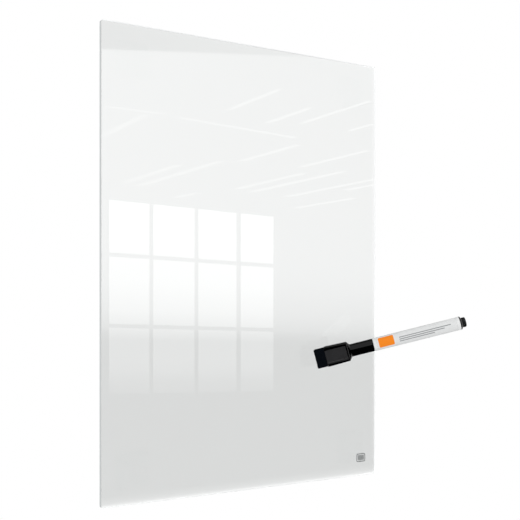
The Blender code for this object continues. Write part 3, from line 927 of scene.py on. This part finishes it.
class WHITEBOARD_OT_eraser(Operator):
    """Makes the eraser's felt, with its uneven fibrous face and its tongue"""

    bl_idname = "whiteboard.eraser"
    bl_label = "Eraser felt"

    def execute(self, context):
        look = context.scene.marker_finish
        rings = []
        for inset, rise in eased_edge(FELT_EASE, FELT_EASE_STEPS):
            outline = rounded_outline(
                FELT_SIZE[0] - 2 * inset, FELT_SIZE[1] - 2 * inset, FELT_CORNER - inset
            )
            rings.append([(x, y, rise) for x, y in outline])
        rings.append([(x, y, FELT_LENGTH) for x, y in rounded_outline(*FELT_SIZE, FELT_CORNER)])
        tongue = rounded_outline(*TONGUE_SIZE, TONGUE_CORNER)
        for height in (FELT_LENGTH, FELT_LENGTH + TONGUE_LENGTH):
            rings.append([(x, y + TONGUE_OFFSET, height) for x, y in tongue])
        bm = bmesh.new()
        loft(bm, rings)
        felt = new_piece("eraser_felt_block", finished_mesh("eraser_felt_block", bm), ())
        remesh = felt.modifiers.new("felt", "REMESH")
        remesh.mode = "VOXEL"
        remesh.voxel_size = FELT_VOXEL
        bpy.context.view_layer.update()
        graph = bpy.context.evaluated_depsgraph_get()
        felt.data = bpy.data.meshes.new_from_object(felt.evaluated_get(graph))
        felt.modifiers.clear()
        moved = []
        for vertex in felt.data.vertices:
            place = vertex.co
            tuft = max(0.0, min(1.0, 0.5 + 0.5 * noise.fractal(place * TUFT_GRAIN, 0.7, 2.0, 4)))
            hollow = 0.5 + 0.5 * noise.noise(place * HOLLOW_GRAIN)
            inward = FELT_WORN + TUFT_DEPTH * tuft + HOLLOW_DEPTH * hollow
            moved.append(place - vertex.normal * inward)
        for vertex, place in zip(felt.data.vertices, moved):
            vertex.co = place
        felt.data.transform(marker_frame())
        felt.data.shade_smooth()
        light = [part * STRAND_LIGHT for part in look.felt_colour]
        felt.data.materials.append(
            fibre_finish("black_felt", look.felt_colour, light, 2400.0, 1100.0, 0.8)
        )
        felt.visible_glossy = False
        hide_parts("eraser_felt")
        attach(felt, "marker_cap")
        return {"FINISHED"}


class WHITEBOARD_OT_cap(Operator):
    """Finishes the cap, its magnet strip and the seal inside"""

    bl_idname = "whiteboard.cap"
    bl_label = "Marker cap"

    def execute(self, context):
        look = context.scene.marker_finish
        dress(
            "cap_housing",
            moulded_plastic("black_gloss_plastic", look.cap_colour, 0.12, 0.05, 0.15, 0.35),
        )
        dress("cap_magnet", magnet_finish(look.magnet_colour))
        seal_grey = (0.60, 0.61, 0.62)
        dress("cap_inner_seal", moulded_plastic("seal_plastic", seal_grey, 0.45, 0.1, 0.4))
        return {"FINISHED"}


class WHITEBOARD_OT_pen(Operator):
    """Finishes the barrel, its printed wrap and the end plug"""

    bl_idname = "whiteboard.pen"
    bl_label = "Pen"

    def execute(self, context):
        look = context.scene.marker_finish
        dress(
            "pen_barrel",
            moulded_plastic("white_barrel_plastic", look.barrel_colour, 0.30, 0.08, 0.2, 0.2),
        )
        dress("barrel_wrap", printed_film(look))
        dress(
            "pen_end_plug",
            moulded_plastic("black_satin_plastic", look.plug_colour, 0.30, 0.08, 0.35, 0.18),
        )
        return {"FINISHED"}


class WHITEBOARD_OT_ink_parts(Operator):
    """Finishes the nib, its holder, the ink fibres and their sleeve"""

    bl_idname = "whiteboard.ink_parts"
    bl_label = "Nib and ink parts"

    def execute(self, context):
        white = (0.78, 0.79, 0.79)
        dress("nib_holder", moulded_plastic("white_holder_plastic", white, 0.35, 0.08, 0.3))
        dark, light = (0.006, 0.006, 0.008), (0.028, 0.028, 0.034)
        dress("writing_nib", fibre_finish("ink_soaked_nib", dark, light, 6000.0, 1800.0, 0.6))
        dark, light = (0.015, 0.015, 0.018), (0.06, 0.06, 0.07)
        dress("ink_reservoir", fibre_finish("ink_fibre", dark, light, 5000.0, 1500.0, 0.6))
        dress("reservoir_film", film_finish())
        return {"FINISHED"}


def glossy_only(obj):
    """Lets a panel show in reflections and nowhere else."""
    obj.visible_camera = False
    obj.visible_diffuse = False
    obj.visible_transmission = False
    obj.visible_volume_scatter = False
    obj.visible_shadow = False


def light_panel(name, bm, level_of):
    """A stage panel that shines by a level worked out from its own coordinates."""
    mesh = bpy.data.meshes.new(name)
    bm.to_mesh(mesh)
    bm.free()
    material = bpy.data.materials.new(name)
    material.use_nodes = True
    tree = material.node_tree
    tree.nodes.clear()
    parts = separated(tree, place_vector(tree))
    glow = add(tree, "ShaderNodeEmission")
    glow.inputs["Color"].default_value = (1, 1, 1, 1)
    feed(tree, glow.inputs["Strength"], level_of(tree, parts))
    join(tree, glow.outputs[0], add(tree, "ShaderNodeOutputMaterial").inputs["Surface"])
    material.cycles.emission_sampling = "NONE"
    obj = new_piece(name, mesh, (material,))
    glossy_only(obj)


def level_ramp(tree, value, levels):
    """A level that follows a list of (place, level) pairs."""
    start, end = levels[0][0], levels[-1][0]
    ramp = add(tree, "ShaderNodeValToRGB")
    stops = ramp.color_ramp.elements
    while len(stops) < len(levels):
        stops.new(0.5)
    for stop, (place, level) in zip(stops, levels):
        stop.position = (place - start) / (end - start)
        stop.color = (level, level, level, 1)
    join(tree, ranged(tree, value, start, end), ramp.inputs["Fac"])
    return ramp.outputs["Color"]


def sloped_height(tree, parts):
    """Height on the reflected wall, whose level lines fall a little to the right."""
    run = maths(tree, "SUBTRACT", parts["X"], WALL_SLOPE_FROM)
    return maths(tree, "MULTIPLY_ADD", run, WALL_SLOPE, parts["Z"])


def quad(bm, left, right, low, high, y, slope=0.0):
    """An upright rectangle that faces the board, sheared by the wall's slope."""
    corners = []
    for x, z in ((left, low), (right, low), (right, high), (left, high)):
        corners.append(bm.verts.new((x, y, z - slope * (x - WALL_SLOPE_FROM))))
    bm.faces.new(corners)


class WHITEBOARD_OT_studio(Operator):
    """Sets the floor, lamp, world, reflected panels and camera"""

    bl_idname = "whiteboard.studio"
    bl_label = "Studio"

    def execute(self, context):
        setup = context.scene.studio_setup
        self.set_world(context, setup)
        self.add_floor(setup)
        self.add_lamp(setup)
        self.add_reflected_wall(setup)
        self.add_reflected_panes(setup)
        self.add_reflected_strips(setup)
        self.add_reflected_sky(setup)
        self.add_camera(context)
        context.scene.view_settings.view_transform = "Standard"
        return {"FINISHED"}

    def set_world(self, context, setup):
        """White to the camera, to reflections and through the sheet, and softer as light."""
        world = bpy.data.worlds.new("studio_world")
        world.use_nodes = True
        tree = world.node_tree
        back = tree.nodes["Background"]
        path = add(tree, "ShaderNodeLightPath").outputs
        by_sheet = maths(tree, "ADD", path["Is Glossy Ray"], path["Is Transmission Ray"])
        seen = maths(tree, "ADD", path["Is Camera Ray"], by_sheet, clamp=True)
        back.inputs["Color"].default_value = (1, 1, 1, 1)
        after_mirror = maths(tree, "GREATER_THAN", path["Glossy Depth"], 0.5)
        mirrored = maths(tree, "MULTIPLY", path["Is Transmission Ray"], after_mirror)
        level = ranged(tree, seen, 0.0, 1.0, setup.world_level, 1.0)
        dimmed = ranged(tree, mirrored, 0.0, 1.0, 1.0, setup.mirrored_level)
        join(tree, maths(tree, "MULTIPLY", level, dimmed), back.inputs["Strength"])
        context.scene.world = world

    def add_floor(self, setup):
        """A pale round floor whose rim fades out."""
        bm = bmesh.new()
        bmesh.ops.create_circle(bm, cap_ends=True, radius=FLOOR_RADIUS, segments=96)
        mesh = bpy.data.meshes.new("studio_floor")
        bm.to_mesh(mesh)
        bm.free()
        material, tree, shader = new_finish("studio_floor")
        vector = place_vector(tree)
        effects = place_group(tree, moulded_grain(), vector, grain_scale=60.0, mark_scale=3.0)
        pale, paler = (0.90, 0.90, 0.90, 1), (0.92, 0.92, 0.92, 1)
        blend_colour(tree, shader, effects["Marks"], pale, paler)
        shader.inputs["Roughness"].default_value = 0.7
        shader.inputs["Specular IOR Level"].default_value = 0.0
        away = add(tree, "ShaderNodeVectorMath", operation="LENGTH")
        join(tree, vector, away.inputs[0])
        start, end = (FLOOR_RADIUS * share for share in FLOOR_FADE)
        fade = ranged(tree, away.outputs["Value"], start, end, 1.0, 0.0, smooth=True)
        join(tree, fade, shader.inputs["Alpha"])
        floor = new_piece("studio_floor", mesh, (material,))
        floor.location = (0, 0, cad_box[0][2] - setup.floor_drop)
        floor.visible_glossy = False

    def add_lamp(self, setup):
        """One large soft lamp, above and to the left of the camera."""
        data = bpy.data.lights.new("soft_lamp", "AREA")
        data.shape = "SQUARE"
        data.size = LAMP_SIZE
        data.energy = setup.lamp_power
        lamp = bpy.data.objects.new("soft_lamp", data)
        lamp.location = LAMP_PLACE
        lamp.rotation_euler = (-LAMP_PLACE).to_track_quat("-Z", "Y").to_euler()
        lamp.visible_glossy = False
        lamp.visible_camera = False
        bpy.context.scene.collection.objects.link(lamp)

    def add_reflected_wall(self, setup):
        """A pale wall over a dark lower half, with a shaded top and a glow at its foot."""

        def level_of(tree, parts):
            ramp = level_ramp(tree, sloped_height(tree, parts), WALL_LEVELS)
            body = maths(tree, "MULTIPLY", ramp, setup.wall_level)
            rise = maths(tree, "MULTIPLY_ADD", parts["X"], TOP_SHADE_SLOPE, parts["Z"])
            shaded = ranged(tree, parts["X"], *TOP_SHADE_LEVEL)
            shade = ranged(tree, rise, *TOP_SHADE_EDGE, 1.0, shaded)
            fade = ranged(tree, parts["X"], *WALL_FADE)
            foot_ramp = level_ramp(tree, parts["Z"], FOOT_LEVELS)
            foot = maths(tree, "MULTIPLY", foot_ramp, FOOT_LEVEL * setup.wall_level)
            return maths(tree, "MULTIPLY_ADD", body, maths(tree, "MULTIPLY", shade, fade), foot)

        bm = bmesh.new()
        quad(bm, *WALL_SIDES, *WALL_HEIGHTS, REFLECTED_WALL_Y)
        light_panel("reflected_wall", bm, level_of)

    def add_reflected_panes(self, setup):
        """Twelve bright panes with bars between them."""

        def level_of(tree, parts):
            ramp = level_ramp(tree, sloped_height(tree, parts), PANE_LEVELS)
            return maths(tree, "MULTIPLY", ramp, setup.pane_level)

        bm = bmesh.new()
        for left, right in PANE_COLUMNS:
            for low, high in PANE_ROWS:
                quad(bm, left, right, low, high, PANES_Y, WALL_SLOPE)
        light_panel("reflected_panes", bm, level_of)

    def add_reflected_strips(self, setup):
        """Thin light strips on the ceiling in front of the wall, wider the further off they are."""
        bm = bmesh.new()
        for ends in STRIPS:
            start, end = (Vector((*place, STRIP_HEIGHT)) for place in ends)
            across = (end - start).cross(Vector((0, 0, 1))).normalized() * STRIP_SPREAD / 2
            near, far = across * start.y, across * end.y
            corners = (start - near, start + near, end + far, end - far)
            bm.faces.new([bm.verts.new(corner) for corner in corners])
        light_panel("reflected_strips", bm, lambda tree, parts: setup.strip_level)

    def add_reflected_sky(self, setup):
        """A sphere: soft grey above the horizon, dimmer at the back, bright at both sides."""

        def level_of(tree, parts):
            levels = (setup.sky_level, setup.back_sky_level)
            sky = ranged(tree, parts["Y"], *SKY_FRONT_TO_BACK, *levels, smooth=True)
            above = ranged(tree, parts["Z"], *SKY_HORIZON, smooth=True)
            fade = ranged(tree, parts["Z"], *SKY_FADE, smooth=True)
            upper = maths(tree, "MULTIPLY", maths(tree, "MULTIPLY", above, fade), sky)
            aside = maths(tree, "ABSOLUTE", parts["X"])
            sides = ranged(tree, aside, *SKY_SIDES, 0.0, setup.side_level, smooth=True)
            return maths(tree, "MAXIMUM", upper, sides)

        bm = bmesh.new()
        bmesh.ops.create_uvsphere(bm, u_segments=48, v_segments=24, radius=SKY_RADIUS)
        light_panel("reflected_sky", bm, level_of)

    def add_camera(self, context):
        """The photograph's view: level, from the board's left."""
        data = bpy.data.cameras.new("photo_camera")
        data.sensor_width = 36.0
        data.lens = CAMERA_LENS
        data.shift_y = CAMERA_SHIFT
        camera = bpy.data.objects.new("photo_camera", data)
        camera.location = CAMERA_PLACE
        camera.rotation_euler = (math.radians(90), 0, CAMERA_TURN)
        context.scene.collection.objects.link(camera)
        context.scene.camera = camera


OPERATORS = (
    WHITEBOARD_OT_sheet,
    WHITEBOARD_OT_corner_mark,
    WHITEBOARD_OT_pads,
    WHITEBOARD_OT_eraser,
    WHITEBOARD_OT_cap,
    WHITEBOARD_OT_pen,
    WHITEBOARD_OT_ink_parts,
    WHITEBOARD_OT_studio,
)


class WHITEBOARD_PT_tools(Panel):
    """Lists the whiteboard's steps and finishes."""

    bl_idname = "WHITEBOARD_PT_tools"
    bl_label = "Whiteboard"
    bl_space_type = "VIEW_3D"
    bl_region_type = "UI"
    bl_category = "Whiteboard"

    def draw(self, context):
        column = self.layout.column()
        for operator in OPERATORS:
            column.operator(operator.bl_idname)
        for name in ("board_finish", "marker_finish", "studio_setup"):
            settings = getattr(context.scene, name)
            box = self.layout.box()
            for setting in settings.bl_rna.properties.keys():
                if setting not in ("rna_type", "name"):
                    box.prop(settings, setting)


CLASSES = (BoardFinish, MarkerFinish, StudioSetup, *OPERATORS, WHITEBOARD_PT_tools)


def register():
    for cls in CLASSES:
        bpy.utils.register_class(cls)
    bpy.types.Scene.board_finish = PointerProperty(type=BoardFinish)
    bpy.types.Scene.marker_finish = PointerProperty(type=MarkerFinish)
    bpy.types.Scene.studio_setup = PointerProperty(type=StudioSetup)


def unregister():
    for name in ("studio_setup", "marker_finish", "board_finish"):
        delattr(bpy.types.Scene, name)
    for cls in reversed(CLASSES):
        bpy.utils.unregister_class(cls)


def main():
    register()
    for operator in OPERATORS:
        group, name = operator.bl_idname.split(".")
        getattr(getattr(bpy.ops, group), name)()


if __name__ == "__main__":
    main()
